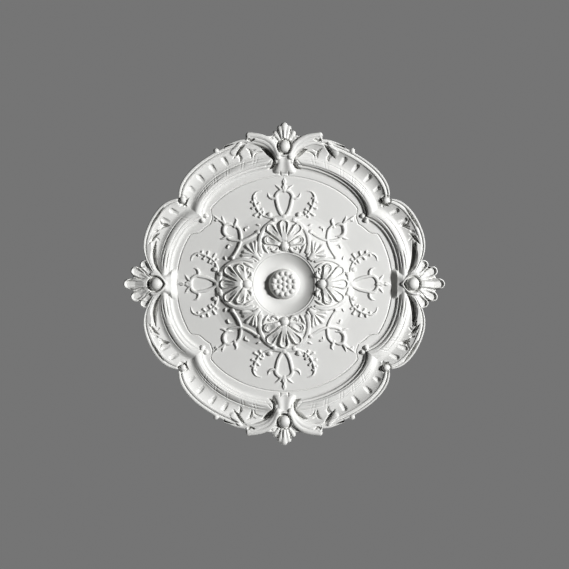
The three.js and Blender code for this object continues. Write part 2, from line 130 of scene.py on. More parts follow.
class RoseFrameSizes(bpy.types.PropertyGroup):
    edge_radius: length("Edge radius", 178.8, "Radius of the lobes at the outer edge")
    lip_width: length("Lip width", 7.6, "Width of the lip with its thin inner ridge")
    channel_width: length("Channel width", 13.4, "Width of the fluted channel")
    bead_slope: length("Bead slope", 10.7, "Width of the bead's reeded slope to the channel")
    bead_width: length("Bead width", 13.1, "Width of the whole bead")
    fillet_width: length("Fillet width", 3.3, "Width of the step inside the bead")
    ledge_width: length("Ledge width", 11.8, "Width of the cove round the field")
    side_draw: length("Side draw", 2.1, "How much nearer the inner steps stand at the sides")
    notch_depth: length("Notch depth", 16.0, "How far the edge draws in between lobes")
    waist_depth: length("Waist depth", 26.0, "How far the edge draws in at the shells")


class RoseHeights(bpy.types.PropertyGroup):
    edge: length("Edge", 4.5, "Height of the outer edge above the flat back")
    field: length("Field", 8.0, "Height of the flat field")
    low_fillet: length("Low fillet", 11.0, "Height of the lower step")
    high_fillet: length("High fillet", 13.0, "Height of the upper step")
    bead: length("Bead", 15.4, "Height of the reeded bead")
    channel: length("Channel", 11.5, "Height of the channel")
    lip: length("Lip", 17.0, "Height of the lip")
    console: length("Console", 19.6, "Height of the consoles at their collars")
    finial: length("Finial", 24.0, "Height of the balls")
    mound: length("Mound", 17.0, "Height of the mound round the dish")
    dish_floor: length("Dish floor", 9.2, "Height of the dish's floor")
    boss: length("Boss", 9.2, "Height of the boss above the dish's floor")


class RoseCarving(bpy.types.PropertyGroup):
    mound_radius: length("Mound radius", 90.0, "Radius of the mound's foot")
    crest_radius: length("Mound top", 52.0, "Radius where the mound is highest")
    dish_radius: length("Dish radius", 38.6, "Radius of the dish")
    boss_radius: length("Boss radius", 17.5, "Radius of the boss")
    lump: length("Boss lump", 2.7, "Radius of the lumps on the boss")
    strap_width: length("Strap width", 4.6, "Width of the strapwork")
    strap_height: length("Strap height", 2.2, "Height of the strapwork")
    flute_width: length("Flute width", 5.6, "Width of the flutes")
    flute_length: length("Flute length", 12.0, "Length of the flutes")
    flute_depth: length("Flute depth", 2.3, "Depth of the flutes")
    shell_length: length("Shell length", 38.5, "Reach of the shells beyond their ball")
    crest_length: length("Crest length", 28.98, "Reach of the crests beyond their ball")


class RoseFinish(bpy.types.PropertyGroup):
    primer: FloatVectorProperty(
        name="Primer",
        description="Colour of the primer, linear",
        subtype="COLOR",
        size=3,
        min=0.0,
        max=1.0,
        default=linear("e5e5e3")[:3],
    )
    roughness: FloatProperty(name="Roughness", description="Matt look of the primer", default=0.62)
    columns: IntProperty(
        name="Columns", description="Columns of the grid in a quarter turn", default=420, min=60
    )
    triangles: IntProperty(
        name="Triangles", description="Triangles kept of the carved grid", default=192000, min=10000
    )


class StageSettings(bpy.types.PropertyGroup):
    drop: FloatProperty(
        name="Drop", description="Height of the rose above the floor", default=2.4, unit="LENGTH"
    )
    camera_distance: FloatProperty(
        name="Camera distance", description="From the rose to the camera", default=2.0, unit="LENGTH"
    )
    key_power: FloatProperty(name="Key light", description="Power of the key light", default=64.0)
    fill_power: FloatProperty(name="Fill light", description="Power of the fill light", default=0.15)
    above_power: FloatProperty(
        name="Light above", description="Strength of the light on floor and back", default=1.9
    )
    behind_power: FloatProperty(
        name="Light behind", description="Strength of the low light on the rose's far side", default=0.9
    )
    ambient: FloatProperty(name="Ambient", description="Faint light from all round", default=0.04)
    grey: FloatVectorProperty(
        name="Backdrop",
        description="Colour behind the rose, linear",
        subtype="COLOR",
        size=3,
        default=(0.178, 0.178, 0.178),
    )


def millimetres(group):
    """Every length of a group of sizes, in millimetres."""
    return {name: getattr(group, name) / MM for name in group.__annotations__}


def rose_sizes():
    """All sizes of the rose in one place, with the radii that follow from the widths."""
    scene = bpy.context.scene
    size = SimpleNamespace(**millimetres(scene.rose_frame), **millimetres(scene.rose_carving))
    size.height = SimpleNamespace(**millimetres(scene.rose_heights))
    size.lip_foot = size.edge_radius - size.lip_width
    size.bead_outer = size.lip_foot - size.channel_width
    size.crest_line = size.bead_outer - size.bead_slope
    size.bead_inner = size.bead_outer - size.bead_width
    size.wall_foot = size.bead_inner - size.fillet_width
    size.field_radius = size.wall_foot - size.ledge_width
    return size


def contour(size, degrees, radius, notch, waist):
    """A line of the frame: a circle in each lobe, drawn in at the notch by a curve that fades with
    the angle, and at the side shells by a bell curve."""
    fade = np.where(degrees < NOTCH_ANGLE, SIDE_FADE, END_FADE)
    fade = fade + (size.edge_radius - radius) * FADE_GROWTH
    pull = np.exp(-np.abs(degrees - NOTCH_ANGLE) / fade)
    dip = np.exp(-((degrees / WAIST_SPREAD) ** 2))
    return radius - notch * pull - waist * dip


def guide_lines(size, degrees):
    """The lines of the frame at each angle, from the field's edge to the outer edge. The field's
    edge is a circle with a flat bay round the curls at the notch, steeper on the bay's end side. The
    steps inside the bead stand nearer in the side lobes."""
    notch, waist = size.notch_depth, size.waist_depth
    slope = np.exp(-np.abs(degrees - NOTCH_ANGLE) / FIELD_FADE)
    turn = degrees - NOTCH_ANGLE + BAY_TURN
    bay = np.exp(-((turn / np.where(turn > 0, END_BAY, SIDE_BAY)) ** 8))
    draw = size.side_draw / (1 + np.exp(degrees - NOTCH_ANGLE - 1))
    radii = {
        "foot": size.wall_foot - draw,
        "bead_in": size.bead_inner - draw,
        "crest": size.crest_line,
        "bead_out": size.bead_outer,
        "lip": size.lip_foot,
        "edge": size.edge_radius,
    }
    lines = {"field": size.field_radius - notch * (FIELD_DRAW * slope + BAY_DRAW * bay)}
    for name, radius in radii.items():
        notch_share, waist_share = LINE_DRAW[name]
        lines[name] = contour(size, degrees, radius, notch_share * notch, waist_share * waist)
    return SimpleNamespace(**lines)


def frame_section(size, degrees):
    """Rows of the frame's section at each angle, as radius and height: a groove at the field's edge,
    a cove that steepens to a wall, two steps, a bead that rises by a power of the way to its crest and
    falls as half a cosine wave, a channel that climbs by a power of the way, and the double lip."""
    high, line = size.height, guide_lines(size, degrees)
    field, low, channel, lip = high.field, high.low_fillet, high.channel, high.lip
    in_end = 1 / (1 + np.exp(NOTCH_ANGLE - degrees))
    step = high.high_fillet + 0.9 * in_end
    rows = [
        (line.field - 0.9, field),
        (line.field, field - 1.4),
        (line.field + 0.9, field),
    ]
    cove = ((-3.6, 0.0), (-2.8, 0.08), (-2.0, 0.26), (-1.3, 0.55), (-0.8, 0.9), (-0.4, 1.3))
    rows += [(line.foot + across, field + rise) for across, rise in cove]
    rows += [
        (line.foot + 0.3, low - 0.1),
        (line.bead_in - 0.5, low + 0.2),
        (line.bead_in + 0.2, step - 0.2),
    ]
    start = line.bead_in + 0.2
    for share in np.linspace(0.125, 1, 8):
        rise = 1 - (1 - share) ** 1.5
        rows.append((start + (line.crest - start) * share, step + (high.bead - step) * rise))
    for share in np.linspace(0.1, 1, 10):
        fall = (1 + math.cos(math.pi * share)) / 2
        radius = line.crest + (line.bead_out - line.crest) * share
        rows.append((radius, channel + (high.bead - channel) * fall))
    for share in np.linspace(0.125, 1, 8):
        radius = line.bead_out + (line.lip - line.bead_out) * share
        rows.append((radius, channel + (lip - 1.6 - channel) * share ** (1.3 + 0.8 * in_end)))
    width = (line.edge - line.lip) / size.lip_width
    double = ((0.7, -0.5), (1.3, -0.3), (2.5, -0.3), (3.1, -0.9), (4.0, -1.5), (4.7, -0.9), (5.2, 0.0))
    rows += [(line.lip + across * width, lip + drop) for across, drop in double]
    rows += [
        (line.edge - 1.0, lip),
        (line.edge - 0.4, lip - 0.8),
        (line.edge - 0.15, lip - 4.0),
        (line.edge, high.edge),
    ]
    return rows


def mound_rows(size):
    """Rows of the centre, as radius and height: boss, dish with its cove and rim, and the mound."""
    high, dish = size.height, size.dish_radius
    floor, top = high.dish_floor, high.mound
    boss, rim = size.boss_radius, top - 1.3
    button = floor + high.boss - BUTTON_DROP
    rows = [(0.0, button), (boss - 5.0, button), (boss - 2.0, button - 0.8), (boss - 0.6, button - 2.2)]
    rows += [(boss + 0.1, button - 4.5), (boss + 0.5, floor), (boss + 5.0, floor)]
    for share in np.linspace(0.15, 1, 8):
        rise = 1 - math.cos(share * math.pi / 2)
        rows.append((boss + 5.0 + (dish - boss - 7.6) * share, floor + (rim - 1.2 - floor) * rise))
    rows += [(dish - 1.8, rim), (dish - 0.9, rim), (dish - 0.2, rim - 0.6), (dish + 0.3, top - 0.4)]
    rows.append((size.crest_radius, top))
    for share in np.linspace(0.125, 1, 8):
        fall = (1 + math.cos(math.pi * share)) / 2
        radius = size.crest_radius + (size.mound_radius - size.crest_radius) * share
        rows.append((radius, high.field + (top - high.field) * fall))
    return rows


def ground(size, x, y):
    """Height of the bare rose: at each point its radius is looked up in the rows of the section at
    its angle, with straight lines between the rows."""
    radius = np.hypot(x, y)
    degrees = np.degrees(np.arctan2(y, x))
    rows = mound_rows(size) + frame_section(size, degrees)
    height = np.full(radius.shape, float(rows[0][1]))
    for (r0, z0), (r1, z1) in zip(rows, rows[1:]):
        share = np.clip((radius - r0) / np.maximum(r1 - r0, 1e-6), 0, 1)
        height = np.where(radius > r0, z0 + (z1 - z0) * share, height)
    return height


def smooth_path(points, count=28):
    """A smooth path through points: between two of them, the cubic whose slope at each end is that
    between its neighbours."""
    p = np.asarray(points, float)
    p = np.vstack([2 * p[0] - p[1], p, 2 * p[-1] - p[-2]])
    t = np.linspace(0, len(p) - 3, count)
    k = np.minimum(t.astype(int), len(p) - 4)
    f = (t - k)[:, None]
    a, b, c, d = p[k], p[k + 1], p[k + 2], p[k + 3]
    curve = 2 * b + (c - a) * f + (2 * a - 5 * b + 4 * c - d) * f**2
    return (curve + (3 * b - a - 3 * c + d) * f**3) / 2


def rounded(q):
    """Section of a roll: half an ellipse."""
    return np.sqrt(1 - q**2)


def ridged(q):
    """Section of a leaf: two slopes that meet in a vein."""
    return 1 - 0.85 * q - 0.15 * q**4


def flat(q):
    """Section of a strap: a flat top with bevelled sides."""
    return np.minimum(1, (1 - q) / 0.42) * (1 - 0.1 * q**2)


def vee(q):
    """Section of a crack: straight down to its middle."""
    return 1 - q


def softly(q):
    """Section of a fine reed groove: a whole cosine wave."""
    return (1 + np.cos(np.pi * q)) / 2


def fluted(q):
    """Section of a flute: steep sides and a flat floor."""
    return np.clip((1 - q) / 0.34, 0, 1)


def domed(q):
    """Section of a spoon's border: a steep rounded edge and an even top."""
    return np.sqrt(1 - np.clip((q - 0.78) / 0.22, 0, 1) ** 2)


def gouged(q):
    """Section of a gouge: steep walls and a round floor."""
    return (1 - q**2) ** 0.7


def even(share):
    """Taper of a band that keeps its width."""
    return np.ones_like(share)


def pointed(share):
    """Taper that narrows to a point at the end by the cube of the way."""
    return np.clip(1 - share**3, 0.12, 1)


def spindle(share):
    """Taper that is widest in the middle: half a sine wave with full flanks."""
    return np.clip(np.sin(np.pi * share) ** 0.55, 0.3, 1)


def crescent(share):
    """Taper of a gouge: half a sine wave with slimmer ends."""
    return np.clip(np.sin(np.pi * share) ** 0.8, 0.2, 1)


class Relief:
    """Heights in millimetres over points of one quarter of the rose, which forms raise and cut."""

    def __init__(self, x, y, z):
        self.x, self.y, self.z = x.ravel(), y.ravel(), z.ravel().copy()
        self.bare = self.z.copy()

    def near(self, path, reach):
        """The points inside the path's box, grown by a reach."""
        low, high = path.min(0) - reach, path.max(0) + reach
        across = (self.x > low[0]) & (self.x < high[0])
        return np.flatnonzero(across & (self.y > low[1]) & (self.y < high[1]))

    def along(self, path, where):
        """Distance of the points from a path, and the share of its length at the nearest place."""
        step = np.diff(path, axis=0)
        long = np.maximum(np.hypot(step[:, 0], step[:, 1]), 1e-9)
        travelled = np.concatenate([[0], np.cumsum(long)])
        dx = self.x[where, None] - path[:-1, 0]
        dy = self.y[where, None] - path[:-1, 1]
        t = np.clip((dx * step[:, 0] + dy * step[:, 1]) / long**2, 0, 1)
        gap = np.hypot(dx - t * step[:, 0], dy - t * step[:, 1])
        nearest = gap.argmin(1)
        row = np.arange(len(where))
        share = (travelled[nearest] + t[row, nearest] * long[nearest]) / travelled[-1]
        return gap[row, nearest], share

    def stroke(self, points, width, height, taper=even, section=rounded, base=None, cut=False):
        """A band along a smooth path. Its half width and height follow the taper, and its section
        gives the height at a share of the half width. It stands on the bare ground or a base."""
        path = smooth_path(points)
        where = self.near(path, width / 2)
        if len(where) == 0:
            return
        gap, share = self.along(path, where)
        size = taper(share)
        q = gap / (width / 2 * size)
        inside = q < 1
        where, lift = where[inside], height * size[inside] ** 0.6 * section(q[inside])
        if cut:
            self.z[where] -= lift
        else:
            level = self.bare[where] if base is None else base
            self.z[where] = np.maximum(self.z[where], level + lift)

    def lobe(self, start, end, half, height, tail=0.35, section=rounded, base=None, cut=False,
             swell=1.2, scoop=0.0, fade=False):
        """A leaf from its tail to its round head: across it the section, whose half width grows from
        the tail's share to the full one by a power of the way, and round the head the same section as
        an ellipse. A spoon is scooped out in its head inside a border; a flute fades to its tail."""
        start, end = np.asarray(start, float), np.asarray(end, float)
        path = np.array([start, end])
        where = self.near(path, half)
        if len(where) == 0:
            return
        reach = np.hypot(*(end - start))
        axis = (end - start) / reach
        dx, dy = self.x[where] - start[0], self.y[where] - start[1]
        s = (dx * axis[0] + dy * axis[1]) / reach
        side = np.abs(dy * axis[0] - dx * axis[1])
        neck = 1 - half / reach
        width = half * (tail + (1 - tail) * np.clip(s / max(neck, 0.1), 0, 1) ** swell)
        head = np.clip((s - neck) / (1 - neck), 0, None)
        root = np.clip(-s * reach / (half * max(tail, 0.05)), 0, None)
        q = np.sqrt((side / width) ** 2 + head**2 + root**2)
        inside = q < 1
        where, q, s = where[inside], q[inside], s[inside]
        lift = height * section(q)
        if scoop:
            bowl = np.clip((0.74 - q) / 0.14, 0, 1) * np.clip((s - 0.3) / 0.3, 0, 1)
            lift -= scoop * bowl
        if fade:
            lift *= np.clip(s / 0.6, 0, 1) ** 0.8
        if cut:
            self.z[where] -= lift
        else:
            level = self.bare[where] if base is None else base
            self.z[where] = np.maximum(self.z[where], level + lift)

    def ball(self, middle, radius, top, flatten=1.0, base=None, cut=False):
        """A ball with its top at a height, or at a lift over the ground; flattened by a factor."""
        point = np.asarray([middle], float)
        where = self.near(point, radius)
        if len(where) == 0:
            return
        gap = np.hypot(self.x[where] - point[0, 0], self.y[where] - point[0, 1])
        inside = gap < radius
        where, gap = where[inside], gap[inside]
        drop = radius * flatten * (1 - np.sqrt(1 - (gap / radius) ** 2))
        if cut:
            self.z[where] -= np.maximum(top - drop, 0)
        else:
            level = self.bare[where] if base is None else base
            self.z[where] = np.maximum(self.z[where], level + top - drop)


def on_axis(turned, side=1, root=0.0):
    """A function that puts the points of a motif in the plan: each has u to one side of the axis and
    v outwards from the root. The axis is the end axis where turned, and the side axis otherwise."""
    def place(*points):
        return [(side * u, root + v) if turned else (root + v, side * u) for u, v in points]

    return place


def swapped(points, flip):
    """Points mirrored in the corner's diagonal, where asked for."""
    return [(y, x) for x, y in points] if flip else list(points)


def polar(degrees, radius):
    """A point at an angle and a radius."""
    angle = math.radians(degrees)
    return (radius * math.cos(angle), radius * math.sin(angle))


def line_at(size, name, degrees):
    """Radius of one of the frame's lines at one angle."""
    return float(getattr(guide_lines(size, np.array(degrees)), name))


def carve_boss(relief, size):
    """Lumps on the boss: one in the middle, six round it and twelve round those."""
    top = size.height.dish_floor + size.height.boss - BUTTON_DROP
    for count, share in ((1, 0.0), (6, 0.36), (12, 0.72)):
        for k in range(count):
            middle = polar((k + 0.5) / count * 360, size.boss_radius * share)
            relief.ball(middle, size.lump, 1.7, 0.7, base=top)


def carve_palmette(relief, size, turned):
    """Palmette: an arch strap round three spoons and two volutes over a ball, with leaf scrolls at
    its feet."""
    root = size.dish_radius + 6.5
    for side in (-1, 1):
        place = on_axis(turned, side, root)
        swing = np.radians(np.linspace(-4, 112, 8))
        arch = place(*zip(29.7 * np.sin(swing), 4 + 29.7 * np.cos(swing)))
        relief.stroke(arch, size.strap_width + 0.6, size.strap_height, section=flat)
        relief.lobe(*place((3.0, 7), (20.0, 26.2)), 5.9, 3.4, 0.42, domed, swell=1.5, scoop=2.2)
        relief.stroke(place((6, 10), (14, 19.5)), 1.8, 2.8, spindle)
        relief.lobe(*place((5.4, 2.2), (24.4, 9.4)), 5.6, 3.2, 0.44, domed, swell=1.5, scoop=2.2)
        curl = ((8, 3.5), (15, 3.4), (20.4, 5.6), (20.6, 9.6), (17.2, 10.6), (15.8, 8.2))
        relief.stroke(place(*curl), 2.2, 2.6, spindle)
        relief.stroke(place((25.4, 3), (22.6, -2.6), (19.4, -8)), 3.4, 2.6, spindle)
        relief.stroke(place((6.8, -1.5), (10, -6), (15.6, -5.4)), 3.8, 2.4, spindle)
        relief.stroke(place((11.5, -1.6), (15, -3.4), (15.4, 0)), 2.4, 2.0, spindle)
        relief.stroke(place((16, -0.5), (19.5, -3.5)), 2.6, 2.0, spindle)
    centre = on_axis(turned, 1, root)
    relief.lobe(*centre((0, 6), (0, 32.4)), 6.3, 3.8, 0.46, domed, swell=1.5, scoop=2.6)
    relief.stroke(centre((0, 9), (0, 26)), 2.6, 3.0, spindle)
    relief.ball(*centre((0, 0)), 7.6, 2.0, 0.3, cut=True)
    relief.ball(*centre((0, 0)), 5.6, 4.2, 0.8)
    for side in (-1, 0, 1):
        mark = centre((side * 1.9, -5), (side * 1.6, -1.2))
        relief.stroke(mark, 0.9, 0.6, spindle, vee, cut=True)


def carve_urn(relief, size, turned):
    """Urn of straps above a palmette: an oval with shoulder hooks, a plume, two leafy sprays and
    curls on the crown of the arch."""
    wide, tall = size.strap_width, size.strap_height
    for side in (-1, 1):
        place = on_axis(turned, side)
        oval = ((-5, 79), (1.8, 82), (5.6, 88), (7.8, 94), (9, 100), (10, 105.5), (7.5, 110), (3, 112.5))
        relief.stroke(place(*oval), wide * 0.95, tall, section=flat)
        swing = ((-5, 79), (4, 80.5), (11, 79.6), (17, 80), (22, 81.5))
        relief.stroke(place(*swing), wide * 0.8, tall * 0.9, section=flat)
        relief.stroke(place((9.5, 103.5), (14, 102.8), (18, 105), (19.6, 110)), 3.6, 2.2, pointed)
        relief.stroke(place((3, 112), (6, 115.5), (11.5, 119.5)), 3.4, 2.0, pointed)
        relief.ball(*place((17.6, 83.4)), 2.7, 3.2, 0.6)
        relief.ball(*place((11.8, 77)), 2.8, 3.4, 0.6)
        stem = (
            (17, 80), (23.5, 81.5), (29.5, 86), (33.5, 92.5), (36.2, 99.5), (36.6, 105.5), (33.4, 110.4),
            (28, 112),
        )
        relief.stroke(place(*stem), 3.3, 2.3, spindle)
        for leaflet in (
            ((30, 86.5), (37, 82)), ((34, 92.5), (40, 90.5)), ((30, 88), (24.8, 90.8)),
            ((33.5, 94), (29.2, 98.2)), ((36, 99), (40.5, 98.4)), ((26, 84), (24.5, 88)),
            ((36.5, 103), (33, 103.5)), ((27, 83.5), (30.5, 79.5)),
        ):
            relief.lobe(*place(*leaflet), 1.7, 2.2, 0.5, rounded)
    centre = on_axis(turned)
    plume = ((0, 112), (1.3, 116), (-0.8, 119.5), (1.0, 123), (-0.3, 128))
    relief.stroke(centre(*plume), 4.0, 2.5, pointed)
    relief.ball(*centre((0, 112.5)), 2.4, 2.8, 0.6)
    relief.ball(*centre((0, 81)), 3.0, 2.9, 0.5)


def carve_corner(relief, size):
    """Strapwork in the corner: straps that cross on the mound, a crescent leaf with its foot and
    sprig, spikes, curls at the ends, and an acanthus leaf that grows from the dish's rim."""
    wide, tall = size.strap_width * 0.8, size.strap_height
    rising = (
        (61.6, 32.8), (57.6, 38.8), (53.9, 46.1), (52.0, 52.8), (52.3, 59.5), (53.9, 65.5), (57.4, 69.5),
    )
    for flip in (False, True):
        relief.stroke(swapped(rising, flip), wide, tall, section=flat)
        for width, height, taper, points in (
            (2.6, 2.2, pointed, ((43.6, 68.0), (46.8, 66.4), (46.4, 62.4))),
            (2.4, 2.0, spindle, ((28.6, 70.0), (33.4, 71.6))),
            (3.2, 2.2, pointed, ((28.0, 33.4), (30.4, 38.4), (29.4, 43.6))),
        ):
            relief.stroke(swapped(points, flip), width, height, taper)
        relief.ball(*swapped([(62.4, 31.6)], flip), 2.4, 2.8, 0.6)
    leaf = (
        (60.4, 69.6), (65.4, 72.0), (70.2, 71.0), (72.4, 66.6), (72.0, 61.4), (68.4, 57.8), (62.2, 57.2),
    )
    for width, height, taper, points in (
        (3.6, 2.4, pointed, ((59.6, 69), (58.2, 72.8), (57.2, 76.6), (59.6, 79.6))),
        (5.0, 2.8, spindle, leaf),
        (3.4, 2.2, pointed, ((68.6, 57.2), (73.6, 54.6), (77.6, 54.2))),
        (3.4, 2.3, pointed, ((70.6, 71.0), (74.2, 74.6), (79.6, 78.0), (85.4, 82.8))),
        (3.4, 2.3, pointed, ((70.6, 71.6), (73.0, 76.0), (74.8, 82.0))),
    ):
        relief.stroke(points, width, height, taper)
    relief.lobe((78.5, 77.0), (83.6, 76.2), 1.5, 2.0, 0.5)
    for tip in ((33.8, 52.8), (39.0, 50.8), (47.2, 47.2), (50.8, 39.0), (52.8, 33.8)):
        relief.lobe((34.6, 34.6), tip, 3.1, 2.9, 0.4, ridged)
    relief.lobe((31.0, 31.0), (37.5, 37.5), 4.2, 3.0, 0.7)


# Reeds: millimetres outwards from the bead's crest, first and last degree, depth.
REEDS = (
    (6.4, 43, 84, 0.85), (2.6, 73, 82, 0.85), (-1.2, 44, 82, 0.85), (4.8, 10, 35, 1.3),
    (1.6, 6, 16.5, 2.2), (-2.4, 7.5, 16, 1.9), (-2.2, 19, 36, 1.0), (2.4, 52, 61, 0.85),
    (4.2, 44, 58, 0.85),
)
TIES = (50.0, 56.3, 62.8, 70.5, 76.6, 33.0, 27.0, 20.0)  # degrees
# Flutes: degrees, and share of the full length and depth.
FLUTES = ((45.4, 0.8), (51.4, 1.0), (58.1, 1.0), (64.0, 1.0), (70.2, 0.9), (33.0, 1.0), (27.8, 1.0))
SIDE_HOLLOW = (
    (154.0, 50.8), (155.6, 43.6), (156.4, 37.2), (156.2, 31.2),
    (154.8, 25.2), (152.0, 19.2), (148.0, 13.6),
)
# Edges of the leaves in the channel, as cuts: width, depth, path.
LEAF_EDGES = (
    (4.2, 6.4, ((150.0, 60.4), (154.0, 58.2), (158.2, 53.6), (162.4, 48.2))),
    (2.4, 3.0, ((150.6, 64.0), (156.8, 62.6))),
    (1.9, 2.0, ((154.6, 56.4), (149.2, 52.2))),
    (4.8, 6.4, ((138.4, 70.0), (143.0, 70.4), (150.0, 68.8))),
    (2.2, 2.8, ((143.4, 70.2), (147.4, 72.0), (149.8, 78.0))),
    (1.9, 2.0, ((143.8, 68.6), (151.0, 65.4))),
    (3.0, 4.2, ((45.0, 162.6), (41.6, 160.2), (39.5, 156.0), (39.2, 151.0))),
    (2.8, 3.6, ((54.2, 155.4), (52.2, 151.2), (53.0, 146.4))),
    (5.4, 8.0, ((48.0, 166.4), (53.6, 161.4), (58.2, 155.2), (60.4, 151.0))),
    (1.9, 1.8, ((34.0, 161.6), (37.0, 160.2), (41.8, 159.6))),
    (2.2, 2.4, ((25.0, 158.8), (31.0, 158.2), (35.4, 155.4), (36.6, 150.6))),
)


def carve_bead(relief, size):
    """Reeds along the bead, and ties across it as pairs of leaning grooves."""
    for offset, start, end, depth in REEDS:
        reed = [polar(a, line_at(size, "crest", a) + offset) for a in np.linspace(start, end, 8)]
        relief.stroke(reed, 2.4, depth, spindle, softly, cut=True)
    for tie in TIES:
        inner, outer = line_at(size, "bead_in", tie), line_at(size, "bead_out", tie)
        lean = 1.0 if tie > NOTCH_ANGLE else -1.0
        for shift in (-0.7, 0.7):
            ends = [polar(tie + shift - lean, inner + 1.5), polar(tie + shift + lean, outer - 2)]
            relief.stroke(ends, 1.6, 0.6, spindle, softly, cut=True)


def carve_channel(relief, size):
    """Flutes in the channel, a raised band on the side lip, the hollow beside the shell, leaf edges, a
    leaf that overlaps the flutes, a slot in the side lip and the hollow beside the crest."""
    for degrees, share in FLUTES:
        outer = line_at(size, "lip", degrees) - 1.6
        tail = polar(degrees + 0.6, outer - size.flute_length * share)
        head = polar(degrees, outer)
        relief.lobe(tail, head, size.flute_width / 2, size.flute_depth * share, 0.7, fluted,
                    cut=True, fade=True)
    band = [polar(a, line_at(size, "lip", a) - 1.2) for a in (20, 17, 14, 11, 8)]
    relief.stroke(band, 5.4, 1.8, spindle, domed, base=size.height.lip - 1.9)
    relief.stroke(SIDE_HOLLOW, 7.6, 4.5, crescent, rounded, cut=True)
    relief.stroke(SIDE_HOLLOW, 4.6, 5.0, crescent, gouged, cut=True)
    for width, depth, points in LEAF_EDGES:
        relief.stroke(points, width, depth, crescent, gouged, cut=True)
    relief.lobe((53.2, 168.4), (63.6, 154.4), 3.6, 1.8, 0.6)
    slot = ((145.0, 91.6), (149.6, 85.2), (153.8, 78.6), (157.4, 73.2), (159.7, 68.4))
    relief.stroke(slot, 3.4, 3.6, spindle, fluted, cut=True)
    upper = ((26.6, 161.6), (21.8, 160.0), (17.2, 157.2), (13.6, 153.0), (12.2, 148.0))
    relief.stroke(upper, 7.4, 7.5, crescent, gouged, cut=True)
    lower = ((13.0, 151.0), (12.4, 146.0), (13.6, 141.6), (19.0, 138.2))
    relief.stroke(lower, 4.6, 7.5, crescent, gouged, cut=True)
    relief.stroke(((13.6, 150.6), (21.8, 141.6)), 1.4, 1.3, even, vee, cut=True)


def carve_notch(relief):
    """The notch between two lobes: a pair of balls inside the bead, and at the edge a ball in a
    hollow with two cuts that meet below it."""
    for degrees, radius in ((37.8, 124.4), (41.0, 124.8)):
        relief.ball(polar(degrees, radius), 2.8, 3.6, 1.0)
    middle = polar(39.5, 158.0)
    relief.ball(middle, 6.2, 3.4, 0.5, cut=True)
    for cut in (((114.6, 103.0), (118.0, 98.0), (118.3, 92.4)), ((118.0, 96.6), (124.6, 93.8))):
        relief.stroke(cut, 3.0, 4.0, spindle, gouged, cut=True)
    relief.ball(middle, 4.1, 18.6, 0.9, base=0.0)


def carve_shell(relief, size):
    """Shell at a side: five spoons that fan out behind a ball over a thin web, a collar that comes to a
    point inside it, and the console, whose face rises from the field in a hollow curve."""
    high, root = size.height, size.bead_outer - SHELL_INSET
    console(relief, high, SIDE_CONSOLE)
    for side in (-1, 1):
        spot = on_axis(False, side, root)
        for tip in ((7.9, 28.2), (18.6, 21.6)):
            relief.lobe(*spot((0, 0), tip), 4.6, 13.6, 0.6, domed, base=0.0)
        for start, end, half, low, tail in (
            ((7.6, -2.4), (27.0, 17.4), 5.8, 12.6, 0.82),
            ((3.6, 3.0), (18.2, 29.2), 6.1, 13.6, 0.52),
        ):
            relief.lobe(*spot(start, end), half, 3.8, tail, domed, base=low, swell=1.0, scoop=3.0)
    centre = on_axis(False, 1, root)
    relief.lobe(*centre((0, 4), (0, size.shell_length)), 6.4, 4.0, 0.56, domed, base=14.6, swell=1.0,
                scoop=3.2)
    for side in (-1, 1):
        spot = on_axis(False, side, root)
        for width, depth, points in (
            (1.6, 2.6, ((4.2, 8), (6.6, 17), (8.8, 26))),
            (1.9, 3.4, ((7.4, 6.4), (13.2, 12.6), (20.4, 19.6))),
            (1.2, 1.0, ((1.9, 10), (2.4, 24))),
            (1.2, 1.0, ((6.2, 9.6), (11.0, 18.6))),
            (1.2, 1.0, ((8.8, 8.0), (15.6, 19.6))),
            (1.2, 1.0, ((10.6, 3), (17.4, 9.6))),
        ):
            relief.stroke(spot(*points), width, depth, spindle, vee, cut=True)
        collar = ((0, -12.0), (4.8, -8.8), (9.2, -4.2), (11.4, 1.0), (11.6, 5.0))
        relief.stroke(spot(*collar), 3.6, 1.6, even, rounded, base=high.console - 2.5)
        gap = ((0, -10.2), (4.6, -7.4), (8.0, -3.2), (8.8, 1.4), (7.2, 5.6), (3.4, 8.2), (0, 8.8))
        relief.stroke(spot(*gap), 2.4, 5.0, even, rounded, cut=True)
    relief.ball(*centre((0, 0)), 7.0, high.finial, 0.85, base=0.0)


# Consoles: rows of distance outwards with half width and with height, and the depth of the valley.
SIDE_CONSOLE = SimpleNamespace(
    turned=False,
    rows=(
        (127.6, 17.6), (129.0, 18.6), (135.0, 17.8), (137.5, 15.2),
        (141.0, 13.0), (146.0, 12.4), (157.0, 13.4),
    ),
    face=(
        (127.6, 8.0), (129.0, 8.8), (131.5, 11.6), (135.4, 15.8),
        (138.0, 16.6), (142.0, 18.2), (157.0, 18.4),
    ),
    valley=1.6,
)
END_CONSOLE = SimpleNamespace(
    turned=True,
    rows=(
        (133.0, 12.6), (134.4, 14.0), (136.6, 13.6), (139.4, 12.2),
        (143.0, 11.0), (149.0, 10.4), (158.0, 10.6),
    ),
    face=(
        (133.0, 9.4), (134.2, 11.2), (136.6, 12.6), (141.0, 14.4),
        (146.0, 16.4), (151.0, 17.8), (158.0, 18.6),
    ),
    valley=1.4,
)


